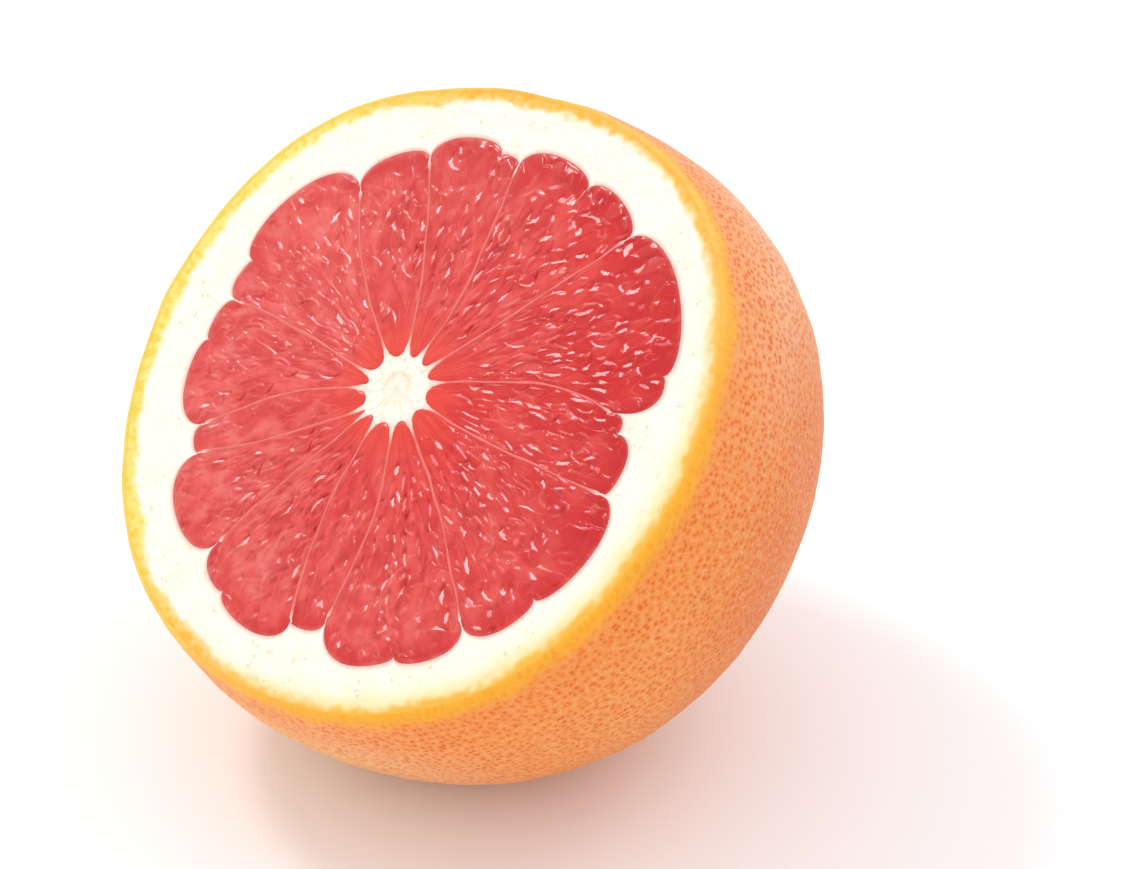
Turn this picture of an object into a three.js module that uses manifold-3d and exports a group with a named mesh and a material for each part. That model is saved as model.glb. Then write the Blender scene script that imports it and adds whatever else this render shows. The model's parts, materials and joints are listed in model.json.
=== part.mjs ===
// A cut grapefruit: rather more than half of the fruit, grown as one piece,
// leaning back so that its cut face looks forward and up. It rests on the
// small flat that a heavy, soft-skinned fruit presses into its side.
// Units are millimetres. +Z is up, the cut face looks toward -Y and +Z, and
// the origin is on the resting flat, straight below the middle of the fruit.

import * as THREE from 'three';
import { mergeVertices } from 'three/addons/utils/BufferGeometryUtils.js';
import Module from 'manifold-3d';

// Overall sizes
const FRUIT_DIAMETER = 110;     // across the girth of the whole fruit
const CUT_HEIGHT = 20.4;        // from the middle of the fruit to the cut face
const FACE_TILT = 45;           // degrees, cut face leaning back from level
const REST_SPOT_DIAMETER = 23;  // flat on the side that the fruit rests on

// Stem end, opposite the cut
const DIMPLE_DIAMETER = 26;     // shallow hollow round the stem scar
const DIMPLE_DEPTH = 1.6;
const BUTTON_DIAMETER = 6;      // dried stem button in the hollow
const BUTTON_HEIGHT = 1.1;

// Slow waves round the girth: how many, how high against the fruit's radius,
// and where a crest lies, in degrees round the fruit's own axis
const GIRTH_WAVES = [
  { count: 2, height: 0.0082, crest: 22 },
  { count: 3, height: 0.0098, crest: 34.8 },
  { count: 4, height: 0.011, crest: -38.4 },
];

// Fineness of the faceted skin
const STEPS_AROUND = 72;
const STEPS_ALONG = 28;

const RADIUS = FRUIT_DIAMETER / 2;
const TILT = THREE.MathUtils.degToRad(FACE_TILT);

// Girth of the fruit against a true round, at an angle round its axis
function girth(angle) {
  let size = 1;
  for (const wave of GIRTH_WAVES) {
    const crest = THREE.MathUtils.degToRad(wave.crest);
    size += wave.height * Math.cos(wave.count * (angle - crest));
  }
  return size;
}

// How far the skin sinks toward the middle, at a distance from the stem axis
function stemSink(distance) {
  const hollow = DIMPLE_DIAMETER / 2;
  const button = BUTTON_DIAMETER / 2;
  if (distance >= hollow) return 0;
  const sink = DIMPLE_DEPTH * (1 + Math.cos(Math.PI * distance / hollow)) / 2;
  return distance < button * 0.99 ? sink - BUTTON_HEIGHT : sink;
}

// Half outline of the cut fruit, from the stem end up to the cut face
function outline() {
  const points = [];
  const at = (distance) => {
    const height = -Math.sqrt(RADIUS ** 2 - distance ** 2) + stemSink(distance);
    points.push(new THREE.Vector2(distance, height));
  };
  // the button, its side, and the hollow round it
  for (const part of [0, 0.5, 0.85, 1.0, 1.15]) at(part * BUTTON_DIAMETER / 2);
  const button = BUTTON_DIAMETER / 2 * 1.15;
  const hollow = DIMPLE_DIAMETER / 2;
  for (let i = 1; i <= 5; i++) at(button + (hollow - button) * i / 5);
  // the round side, evenly stepped up to the cut
  const start = -Math.acos(hollow / RADIUS);
  const end = Math.asin(CUT_HEIGHT / RADIUS);
  for (let i = 1; i <= STEPS_ALONG; i++) {
    const rise = start + (end - start) * i / STEPS_ALONG;
    points.push(new THREE.Vector2(RADIUS * Math.cos(rise), RADIUS * Math.sin(rise)));
  }
  // the flat cut face, in to the axis
  const rim = RADIUS * Math.cos(end);
  for (const part of [0.66, 0.33]) points.push(new THREE.Vector2(rim * part, CUT_HEIGHT));
  points.push(new THREE.Vector2(0, CUT_HEIGHT));
  return points;
}

// The fruit about its own axis, with the waves round its girth
function fruit() {
  const geometry = new THREE.LatheGeometry(outline(), STEPS_AROUND);
  geometry.rotateX(Math.PI / 2);
  const position = geometry.attributes.position;
  for (let i = 0; i < position.count; i++) {
    const x = position.getX(i);
    const y = position.getY(i);
    const size = girth(Math.atan2(y, x));
    position.setXY(i, x * size, y * size);
  }
  return geometry;
}

// Height of the middle of the fruit that leaves a flat of the wanted size
function restingHeight() {
  const under = RADIUS * (1 + (girth(-Math.PI / 2) - 1) * Math.sin(TILT) ** 2);
  return Math.sqrt(under ** 2 - (REST_SPOT_DIAMETER / 2) ** 2);
}

const wasm = await Module();
wasm.setup();

function toSolid(geometry) {
  const bare = new THREE.BufferGeometry();
  bare.setAttribute('position', geometry.attributes.position.clone());
  if (geometry.index) bare.setIndex(geometry.index.clone());
  const merged = mergeVertices(bare, 1e-4);
  return new wasm.Manifold(new wasm.Mesh({
    numProp: 3,
    vertProperties: new Float32Array(merged.attributes.position.array),
    triVerts: new Uint32Array(merged.index.array),
  }));
}

function toGeometry(solid) {
  const mesh = solid.getMesh();
  const geometry = new THREE.BufferGeometry();
  geometry.setAttribute('position', new THREE.BufferAttribute(mesh.vertProperties, 3));
  geometry.setIndex(new THREE.BufferAttribute(mesh.triVerts, 1));
  geometry.computeVertexNormals();
  return geometry;
}

// Lean the fruit back, set it at its resting height and press the flat in
const leaning = fruit();
leaning.rotateX(TILT);
leaning.translate(0, 0, restingHeight());

const ground = new THREE.BoxGeometry(2 * FRUIT_DIAMETER, 2 * FRUIT_DIAMETER, FRUIT_DIAMETER);
ground.translate(0, 0, -FRUIT_DIAMETER / 2);

const rested = toSolid(leaning).subtract(toSolid(ground));

const cutFruit = new THREE.Mesh(
  toGeometry(rested),
  new THREE.MeshStandardMaterial({ color: 0xf2a24e, roughness: 0.5 }),
);
cutFruit.name = 'cut_grapefruit';

const part = new THREE.Group();
part.name = 'grapefruit';
part.add(cutFruit);

export default part;
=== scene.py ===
"""Looks of a cut grapefruit, laid out as a small add-on and run as a script.

Lengths in the code are millimetres in the fruit's own axes: the origin is the
middle of the cut face, X points right across it, Y up its slope and Z straight
out of it. place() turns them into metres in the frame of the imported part.
"""

import json
import math

import bmesh
import bpy
import numpy as np
from bpy.props import (
    FloatProperty,
    FloatVectorProperty,
    IntProperty,
    PointerProperty,
)
from mathutils import Matrix, Vector


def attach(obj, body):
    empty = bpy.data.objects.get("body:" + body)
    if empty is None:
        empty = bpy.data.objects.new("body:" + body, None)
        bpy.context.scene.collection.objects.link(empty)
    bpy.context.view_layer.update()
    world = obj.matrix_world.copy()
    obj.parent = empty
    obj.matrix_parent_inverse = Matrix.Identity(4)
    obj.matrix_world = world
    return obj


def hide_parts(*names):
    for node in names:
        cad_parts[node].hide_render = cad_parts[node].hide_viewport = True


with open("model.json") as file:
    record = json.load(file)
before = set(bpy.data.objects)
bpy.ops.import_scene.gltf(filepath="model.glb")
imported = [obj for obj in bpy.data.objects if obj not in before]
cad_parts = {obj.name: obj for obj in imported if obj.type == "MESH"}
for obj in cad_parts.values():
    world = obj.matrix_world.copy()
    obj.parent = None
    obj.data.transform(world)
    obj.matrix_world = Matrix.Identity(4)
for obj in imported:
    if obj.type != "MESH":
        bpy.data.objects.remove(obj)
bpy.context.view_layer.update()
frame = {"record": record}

bl_info = {
    "name": "Cut Grapefruit",
    "version": (1, 0, 0),
    "blender": (4, 5, 0),
    "location": "View3D > Sidebar > Grapefruit",
    "description": "Builds a cut grapefruit, its finishes and a plain studio",
    "category": "Object",
}

# The imported part: its cut face and the flat it rests on
MOUNTS = {mount["name"]: mount for mount in frame["record"]["mounts"]}
REST_SPOT = Vector(MOUNTS["rest_spot"]["pos_m"])
CUT_CENTRE = Vector(MOUNTS["cut_face"]["pos_m"])
FACE_OUT = Vector(MOUNTS["cut_face"]["axis"]).normalized()
FACE_RIGHT = Vector((0, 0, 1)).cross(FACE_OUT).normalized()
FACE_UP = FACE_OUT.cross(FACE_RIGHT)
# the middle of the fruit lies straight above the rest spot
CUT_HEIGHT = (CUT_CENTRE.y - REST_SPOT.y) / FACE_OUT.y
MIDDLE = CUT_CENTRE - FACE_OUT * CUT_HEIGHT

MM = 0.001
CUT = CUT_HEIGHT / MM

# Slow waves round the girth: count, height against the radius, crest in degrees
GIRTH_WAVES = ((2, 0.0082, 22.0), (3, 0.0098, 34.8), (4, 0.011, -38.4))

# The stem end: depth of the hollow round it, and its radius
STEM_HOLLOW, STEM_REACH = 1.6, 13.0

# Width of a gore of the skin's map in radians, and how far apart gores are laid
GORE, GORE_APART = math.pi / 4, 37.0

# How far the skin's edge at the cut is rounded over
ROUNDING = 0.4

# Depths below the cut: of membranes and segments, and of the hollow for them
FLESH_DEPTH, HOLLOW_DEPTH = 2.4, 2.8

# The core stands a little off the middle of the cut
CORE = np.array((-0.9, -0.8))
CORE_RADIUS, RING_RADIUS = 5.5, 2.35

# Directions in the fruit's own axes of the skin's painted sheen above and painted bounce
# light below, of its painted shade, of its yellow lower left that also carries painted
# bounce light, and where the cut runs through the rind at a slant
CHEEK_ABOVE, CHEEK_BELOW = np.array((0.545, 0.83, 0.07)), np.array((-0.2, -0.98, 0.0))
DEEP_SIDE, STRAW_SIDE = np.array((0.86, 0.16, -0.48)), np.array((-0.62, -0.75, -0.2))
SLANT_SIDE = np.array((0.85, -0.53))

# Membranes between segments, as turns in degrees about the core: at the core,
# a third of the way out, half way, two thirds, and at the pith with its radius
MEMBRANES = (
    (-8.0, -7.8, -7.0, -5.8, -4.8, 40.4),
    (26.5, 22.8, 21.8, 18.6, 12.6, 37.0),
    (51.5, 51.5, 51.5, 51.9, 52.3, 41.4),
    (77.0, 77.5, 81.0, 85.0, 87.4, 38.4),
    (103.0, 105.0, 107.0, 109.2, 111.7, 38.0),
    (136.5, 137.0, 137.0, 134.2, 131.0, 36.2),
    (173.5, 172.7, 172.0, 172.5, 174.0, 36.1),
    (196.5, 198.2, 200.0, 205.4, 208.0, 34.4),
    (229.0, 222.6, 220.0, 217.6, 215.8, 35.1),
    (239.0, 240.1, 240.2, 240.5, 241.6, 36.3),
    (262.0, 263.0, 265.0, 268.4, 272.6, 38.0),
    (294.0, 292.6, 290.0, 285.2, 281.8, 36.1),
    (321.0, 320.3, 320.0, 317.8, 315.9, 39.7),
)
MEMBRANE_RADII = (6.0, 13.0, 20.0, 28.0)
# where membranes start, and the reach at which a segment's width is taken
MEMBRANE_START, MEAN_REACH = 4.6, 34.0

# Lobes of flesh against the pith, one tuple a segment, each lobe as its last
# turn in degrees, the radius there, its greatest radius and where that lies
LOBES = (
    ((8.2, 38.3, 41.7, 0.48), (12.6, 37.0, 39.0, 0.35)),
    ((20.7, 43.7, 44.2, 0.8), (52.3, 41.4, 46.5, 0.52)),
    ((68.5, 40.9, 43.8, 0.5), (87.4, 38.4, 42.8, 0.36)),
    ((93.0, 39.4, 39.8, 0.7), (111.7, 38.0, 41.7, 0.46)),
    ((131.0, 36.2, 40.2, 0.36),),
    ((163.8, 38.5, 42.6, 0.48), (174.0, 36.1, 39.0, 0.4)),
    ((185.5, 37.7, 38.6, 0.6), (208.0, 34.4, 39.6, 0.45)),
    ((215.8, 35.1, 36.4, 0.55),),
    ((241.6, 36.3, 41.2, 0.5),),
    ((252.3, 40.0, 40.6, 0.8), (272.6, 38.0, 42.0, 0.46)),
    ((281.8, 36.1, 38.4, 0.4),),
    ((300.0, 41.6, 42.6, 0.6), (315.9, 39.7, 43.4, 0.5)),
    ((331.4, 42.8, 44.0, 0.62), (355.2, 40.4, 44.7, 0.45)),
)

# Short folds of pale skin that run in from between two lobes: turn at the
# pith, turn at the inner end, and how far in that end lies
FOLDS = (
    (8.2, 7.6, 7.0),
    (20.7, 24.5, 6.0),
    (68.6, 67.2, 9.0),
    (93.0, 89.6, 10.0),
    (123.5, 123.0, 12.0),
    (163.8, 160.0, 8.0),
    (185.5, 183.5, 6.0),
    (252.3, 254.6, 6.5),
    (300.0, 297.0, 5.0),
    (331.4, 330.6, 6.0),
)


# ---------------------------------------------------------------- sizes


def colour(name, text, value):
    """A colour property with a plain default."""
    return FloatVectorProperty(
        name=name, description=text, subtype="COLOR", size=3,
        min=0.0, max=1.0, default=value,
    )


def amount(name, text, value, low=0.0, **kind):
    """A number property, whose kind gives its unit and subtype."""
    return FloatProperty(name=name, description=text, default=value, min=low, **kind)


LENGTH = {"unit": "LENGTH", "subtype": "DISTANCE"}


class FruitSizes(bpy.types.PropertyGroup):
    """Sizes of the fruit that a user may change."""

    diameter: amount("Diameter", "Across the whole fruit", 0.110, 0.05, **LENGTH)
    rind: amount("Rind", "Thickness of the coloured rind", 0.0019, 0.0005, **LENGTH)
    pore_spacing: amount(
        "Pore spacing", "Between oil pores in the skin", 0.00122, 0.0005, **LENGTH
    )
    membrane: amount("Membrane", "Width of the membranes", 0.00036, 0.0001, **LENGTH)
    grain: amount("Flesh mesh", "Size of the faces on the flesh", 0.00018, 0.0001, **LENGTH)
    seed: IntProperty(
        name="Seed", description="Changes how the juice sacs are strewn", default=7, min=0
    )


class FruitColours(bpy.types.PropertyGroup):
    """Colours of the fruit that a user may change."""

    skin: colour("Skin", "Orange of the skin", (0.87, 0.34, 0.095))
    # painted light: colour of a painted sheen on the upper skin and painted bounce light on
    # the lower skin
    blush: colour("Blush", "Pale cheek of the skin", (0.95, 0.60, 0.40))
    gold: colour("Gold", "Skin and rind close to the cut", (0.94, 0.43, 0.022))
    lemon: colour("Lemon", "Rind on the yellow side of the cut", (0.88, 0.60, 0.07))
    pore: colour("Pore", "Oil pores in the skin", (0.69, 0.12, 0.016))
    zest: colour("Zest", "Cut edge of the rind", (0.90, 0.52, 0.11))
    pith: colour("Pith", "White pith", (0.94, 0.895, 0.775))
    membrane: colour("Membrane", "Walls between the segments", (0.82, 0.155, 0.125))
    flesh: colour("Flesh", "Juice sacs", (0.70, 0.024, 0.017))
    flesh_deep: colour("Deep flesh", "Deep, clear juice", (0.57, 0.006, 0.008))
    # also the colour of a painted sheen over the flesh at the left and below
    flesh_pale: colour("Pale flesh", "Sac walls and frothy juice", (0.77, 0.150, 0.135))
    woody: colour("Woody", "Dry stem button", (0.17, 0.105, 0.04))


class StudioSettings(bpy.types.PropertyGroup):
    """Camera and light that a user may change."""

    turn: amount(
        "Camera turn", "Round from the front, toward the right",
        math.radians(37.83), -math.pi, subtype="ANGLE",
    )
    rise: amount("Camera rise", "Above level", math.radians(29.74), subtype="ANGLE")
    distance: amount("Camera distance", "From the fruit's middle", 0.3495, 0.1, **LENGTH)
    aside: amount("Camera aside", "How far right it looks", 0.01638, -0.1, **LENGTH)
    lens: amount("Lens", "Focal length in millimetres", 70.0, 10.0)
    surround: amount("Surround", "Strength of the even light all round", 1.01)
    key: amount("Key light", "Power of the crisp light, in watts", 2.6)
    sheen: amount("Sheen light", "Power of the soft light behind, in watts", 0.8)


def settings():
    """The three groups of settings, as the operators use them."""
    scene = bpy.context.scene
    return scene.fruit_sizes, scene.fruit_colours, scene.fruit_studio


# ---------------------------------------------------------------- shape helpers


def place(points):
    """Millimetres in the fruit's own axes, as metres in the frame."""
    turn = np.array((FACE_RIGHT, FACE_UP, FACE_OUT))
    return points @ turn * MM + np.array(CUT_CENTRE)


def ramp(low, high, value):
    """0 below low, 1 above high, and a straight rise between."""
    return np.clip((value - low) / (high - low), 0.0, 1.0)


def smooth(low, high, value):
    """0 below low, 1 above high, and a smooth rise between."""
    part = ramp(low, high, value)
    return part * part * (3.0 - 2.0 * part)


def eased(part, share):
    """Draws values from 0 to 1 closer together toward both ends."""
    return (1 - share) * part + share * (1 - np.cos(np.pi * part)) / 2


def fall(low, high, value):
    """1 below low, 0 above high, and a smooth fall between."""
    return 1 - smooth(low, high, value)


def bell(value, width):
    """1 where the value is nought, fading to 0 on both sides."""
    return np.exp(-((value / width) ** 2))


def noise(points, size, seed=0):
    """Smooth noise from -1 to 1 whose lumps are about size across."""
    scaled = points / size
    cell = np.floor(scaled).astype(np.int64)
    part = scaled - cell
    part = part * part * (3.0 - 2.0 * part)
    total = np.zeros(len(points))
    for corner in np.ndindex(2, 2, 2):
        spot = cell + np.array(corner)
        mixed = spot[:, 0] * 374761393 + spot[:, 1] * 668265263
        mixed = (mixed + spot[:, 2] * 1440662683 + seed * 1013904223) & 0xFFFFFFFF
        mixed = ((mixed ^ (mixed >> 13)) * 1274126177) & 0xFFFFFFFF
        value = ((mixed ^ (mixed >> 16)) & 0xFFFF) / 32767.5 - 1.0
        share = np.where(corner, part, 1.0 - part)
        total += value * share[:, 0] * share[:, 1] * share[:, 2]
    return total


def girth(turn):
    """Girth of the fruit against a true round, at a turn in radians."""
    size = np.ones_like(turn)
    for count, height, crest in GIRTH_WAVES:
        size = size + height * np.cos(count * (turn - math.radians(crest)))
    return size


def membrane_turn(index, radius):
    """Turn in degrees of a membrane about the core, at a radius from it."""
    row = MEMBRANES[index % len(MEMBRANES)]
    lap = 360.0 * (index // len(MEMBRANES))
    radii = MEMBRANE_RADII + (row[5],)
    fine = np.linspace(radii[0], radii[-1], 40)
    rough = np.interp(fine, radii, row[:5])
    # ease the corners of the path
    for _ in range(24):
        rough[1:-1] = (rough[:-2] + 2.0 * rough[1:-1] + rough[2:]) / 4.0
    return np.interp(radius, fine, rough) + lap


def segment_ends(index, reach):
    """Turns in degrees of the two membranes that hold a segment."""
    return membrane_turn(index, reach), membrane_turn(index + 1, reach)


def turn_at(index, reach, offset):
    """Turn in degrees of points set off sideways from a membrane."""
    return membrane_turn(index, reach) + np.degrees(offset / reach)


def lobe_edge(turn):
    """Radius of the flesh about the core, at a turn in degrees."""
    first = MEMBRANES[0]
    start, low = first[4], first[5]
    turn = (np.asarray(turn, dtype=float) - start) % 360.0 + start
    edge = np.zeros_like(turn)
    for lobes in LOBES:
        for end, high, peak, lean in lobes:
            inside = (turn >= start) & (turn <= end)
            part = np.clip((turn - start) / (end - start), 0.0, 1.0)
            # each lobe rounds over steeply on both sides of its crest
            before = part < lean
            away = np.where(before, (lean - part) / lean, (part - lean) / (1 - lean))
            round_off = 1 - (1 - np.clip(away, 0.0, 1.0) ** 2.3) ** (1 / 2.3)
            foot = np.where(before, low, high)
            edge = np.where(inside, peak - (peak - foot) * round_off, edge)
            start, low = end, high
    return edge


def ray(turn):
    """Unit vectors in the plane of the cut, at turns in radians."""
    return np.stack((np.cos(turn), np.sin(turn), np.zeros_like(turn)), axis=-1)


def about_core(turn, radius):
    """Points on the cut, from a turn in degrees and a radius about the core."""
    angle = np.radians(turn)
    x, y = CORE[0] + radius * np.cos(angle), CORE[1] + radius * np.sin(angle)
    return np.stack((x, y, np.zeros_like(x)), axis=-1)


# ---------------------------------------------------------------- mesh helpers


def spun(rows, steps):
    """A closed shell of unit radius: a vertex's height is its row and its angle
    its step. The first and last rows are gathered to one point each."""
    bm = bmesh.new()
    ends = [bm.verts.new((1.0, 0.0, 0.0)), bm.verts.new((1.0, 0.0, rows - 1.0))]
    line = bm.edges.new(ends)
    bmesh.ops.subdivide_edges(bm, edges=[line], cuts=rows - 2)
    bmesh.ops.spin(
        bm, geom=bm.verts[:] + bm.edges[:], axis=(0, 0, 1), cent=(0, 0, 0),
        angle=2.0 * math.pi, steps=steps, use_merge=True, use_duplicate=False,
    )
    for pole in (0, rows - 1):
        ring = [v for v in bm.verts if abs(v.co.z - pole) < 0.5]
        for v in ring:
            v.co.x = v.co.y = 0.0
        bmesh.ops.remove_doubles(bm, verts=ring, dist=1e-5)
    bmesh.ops.recalc_face_normals(bm, faces=bm.faces)
    return bm


def slab(columns, rows):
    """A closed slab: its top is a grid whose vertices lie at whole numbers of
    columns and rows, its underside one face a unit below."""
    bm = bmesh.new()
    bmesh.ops.create_grid(bm, x_segments=columns, y_segments=rows, size=0.5)
    bmesh.ops.translate(bm, verts=bm.verts, vec=(0.5, 0.5, 0.0))
    bmesh.ops.scale(bm, verts=bm.verts, vec=(columns, rows, 1.0))
    rim = [edge for edge in bm.edges if edge.is_boundary]
    made = bmesh.ops.extrude_edge_only(bm, edges=rim)["geom"]
    low = [item for item in made if isinstance(item, bmesh.types.BMVert)]
    bmesh.ops.translate(bm, verts=low, vec=(0, 0, -1))
    open_rim = [edge for edge in bm.edges if edge.is_boundary]
    bmesh.ops.holes_fill(bm, edges=open_rim, sides=0)
    bmesh.ops.recalc_face_normals(bm, faces=bm.faces)
    return bm


def points_of(mesh):
    """The places of a mesh's vertices, a row each."""
    points = np.empty(len(mesh.vertices) * 3)
    mesh.vertices.foreach_get("co", points)
    return points.reshape(-1, 3)


def to_mesh(name, bm):
    """Turns a bmesh into a mesh and gives it with its points."""
    mesh = bpy.data.meshes.new(name)
    bm.to_mesh(mesh)
    bm.free()
    return mesh, points_of(mesh)


def wound(name, rows, steps):
    """A spun mesh, with the row and the turn of each of its vertices."""
    mesh, grid = to_mesh(name, spun(rows, steps))
    return mesh, np.rint(grid[:, 2]).astype(int), np.arctan2(grid[:, 1], grid[:, 0])


def bar(name, columns, rows):
    """A closed slab, with each vertex's place across and along it from 0 to 1,
    and whether it lies beneath."""
    mesh, grid = to_mesh(name, slab(columns, rows))
    return mesh, grid[:, 0] / columns, grid[:, 1] / rows, grid[:, 2] < -0.5


def single(values):
    """Numbers in the form that a mesh stores."""
    return np.ascontiguousarray(values, dtype=np.float32).ravel()


def settle(mesh, points):
    """Puts a mesh's vertices at points in the fruit's own axes. Those that
    would pass the resting surface are pressed up to it."""
    placed = place(points)
    placed[:, 2] = np.maximum(placed[:, 2], REST_SPOT.z)
    mesh.vertices.foreach_set("co", single(placed))
    mesh.update()


def mark(mesh, **layers):
    """Stores named numbers on each vertex, for the finish to read."""
    for name, values in layers.items():
        layer = mesh.attributes.new(name, "FLOAT", "POINT")
        layer.data.foreach_set("value", single(values))


def outward(mesh):
    """Points the faces of a closed mesh outward."""
    corners = np.empty(len(mesh.loop_triangles) * 3, dtype=np.int32)
    mesh.loop_triangles.foreach_get("vertices", corners)
    a, b, c = points_of(mesh)[corners.reshape(-1, 3)].transpose(1, 0, 2)
    if np.einsum("ij,ij->", a, np.cross(b, c)) < 0:
        mesh.flip_normals()


def lay_uv(mesh, name, values):
    """Stores a pair of numbers on each corner as a UV map."""
    layer = mesh.uv_layers.new(name=name)
    layer.uv.foreach_set("vector", single(values))


def corner_vertices(mesh):
    """The vertex at each corner of the faces."""
    corners = np.empty(len(mesh.loops), dtype=np.int32)
    mesh.loops.foreach_get("vertex_index", corners)
    return corners


def lay_flow(mesh, across, along):
    """Lays a map in millimetres that runs with the grain of the piece."""
    flow = np.stack((across, along), axis=-1)
    lay_uv(mesh, "flow", flow[corner_vertices(mesh)])


def finished(name, mesh, material):
    """Makes a mesh a piece of the fruit."""
    mesh.calc_loop_triangles()
    outward(mesh)
    mesh.polygons.foreach_set("use_smooth", [True] * len(mesh.polygons))
    mesh.materials.append(material)
    mesh.name = name
    piece = bpy.data.objects.new(name, mesh)
    bpy.context.scene.collection.objects.link(piece)
    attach(piece, "root")
    return piece


# ---------------------------------------------------------------- finishes


class Finish:
    """A node material, built a node at a time."""

    def __init__(self, name):
        self.material = bpy.data.materials.new(name)
        self.material.use_nodes = True
        self.tree = self.material.node_tree
        self.tree.nodes.clear()
        out = self.add("ShaderNodeOutputMaterial")
        self.shader = self.add("ShaderNodeBsdfPrincipled")
        self.join(self.shader.outputs["BSDF"], out.inputs["Surface"])

    def add(self, kind, numbers=(), **values):
        """A node with its settings and the numbers on its sockets."""
        node = self.tree.nodes.new(kind)
        for key, value in values.items():
            setattr(node, key, value)
        for key, value in dict(numbers).items():
            self.join(value, node.inputs[key])
        return node

    def join(self, source, target):
        """Feeds a socket from another one, or sets it to a number or colour."""
        if hasattr(source, "is_output"):
            self.tree.links.new(source, target)
        else:
            target.default_value = source

    def flat(self, name, across, along):
        """A UV map laid in millimetres, drawn in by two sizes."""
        uv = self.add("ShaderNodeUVMap", uv_map=name).outputs["UV"]
        drawn = {"Vector": uv, "Scale": (1.0 / across, 1.0 / along, 1.0)}
        return self.add("ShaderNodeMapping", drawn).outputs["Vector"]

    def cloud(self, where, scale, detail, rough, warp=0.0):
        """Noise at the given coordinates, as a node."""
        return self.add("ShaderNodeTexNoise", {
            "Vector": where, "Scale": scale, "Detail": detail,
            "Roughness": rough, "Distortion": warp,
        })

    def streak(self, where, detail, rough, warp):
        """Noise on coordinates already drawn to size."""
        return self.cloud(where, 1.0, detail, rough, warp).outputs["Fac"]

    def grain(self, size, detail=2.0, rough=0.5):
        """Noise whose lumps are about size millimetres across."""
        place = self.add("ShaderNodeTexCoord").outputs["Object"]
        return self.cloud(place, 1.0 / (size * MM), detail, rough).outputs["Fac"]

    def cells(self, where, scale, jitter):
        """Distance to the nearest of points strewn one to a cell."""
        node = self.add(
            "ShaderNodeTexVoronoi", {"Vector": where, "Scale": scale, "Randomness": jitter},
            voronoi_dimensions="2D", feature="F1",
        )
        return node.outputs["Distance"]

    def read(self, name):
        """A number stored on the vertices."""
        return self.add("ShaderNodeAttribute", attribute_name=name).outputs["Fac"]

    def math(self, kind, first, second=0.5):
        return self.add("ShaderNodeMath", {0: first, 1: second}, operation=kind).outputs[0]

    def times(self, first, *more):
        for value in more:
            first = self.math("MULTIPLY", first, value)
        return first

    def rest(self, value):
        """What is left of 1."""
        return self.math("SUBTRACT", 1.0, value)

    def span(self, value, low, high, to_low=0.0, to_high=1.0, kind="SMOOTHSTEP"):
        """Carries a value from one range over to another."""
        node = self.add("ShaderNodeMapRange", {
            "Value": value, "From Min": low, "From Max": high,
            "To Min": to_low, "To Max": to_high,
        }, interpolation_type=kind)
        return node.outputs["Result"]

    def blend(self, share, first, second):
        """The first colour, with a share of the second laid over it."""
        node = self.add("ShaderNodeMix", {"Factor": share}, data_type="RGBA")
        for value, key in ((first, 6), (second, 7)):
            if not hasattr(value, "is_output"):
                value = (*value[:3], 1.0)
            self.join(value, node.inputs[key])
        return node.outputs[2]

    def layers(self, body, *coats):
        """Lays colours over one another, each with its share."""
        for share, over in coats:
            body = self.blend(share, body, over)
        return body

    def bump(self, height, depth, strength, under=None):
        """Relief of depth millimetres from a height of 0 to 1."""
        numbers = {"Height": height, "Distance": depth * MM, "Strength": strength}
        if under is not None:
            numbers["Normal"] = under
        return self.add("ShaderNodeBump", numbers).outputs["Normal"]

    def set(self, **values):
        """Sets sockets of the shader by name and gives the material."""
        for key, value in values.items():
            self.join(value, self.shader.inputs[key.replace("_", " ")])
        return self.material


# Colour that the flesh stains its neighbours with
STAIN = (0.90, 0.36, 0.29)


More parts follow.
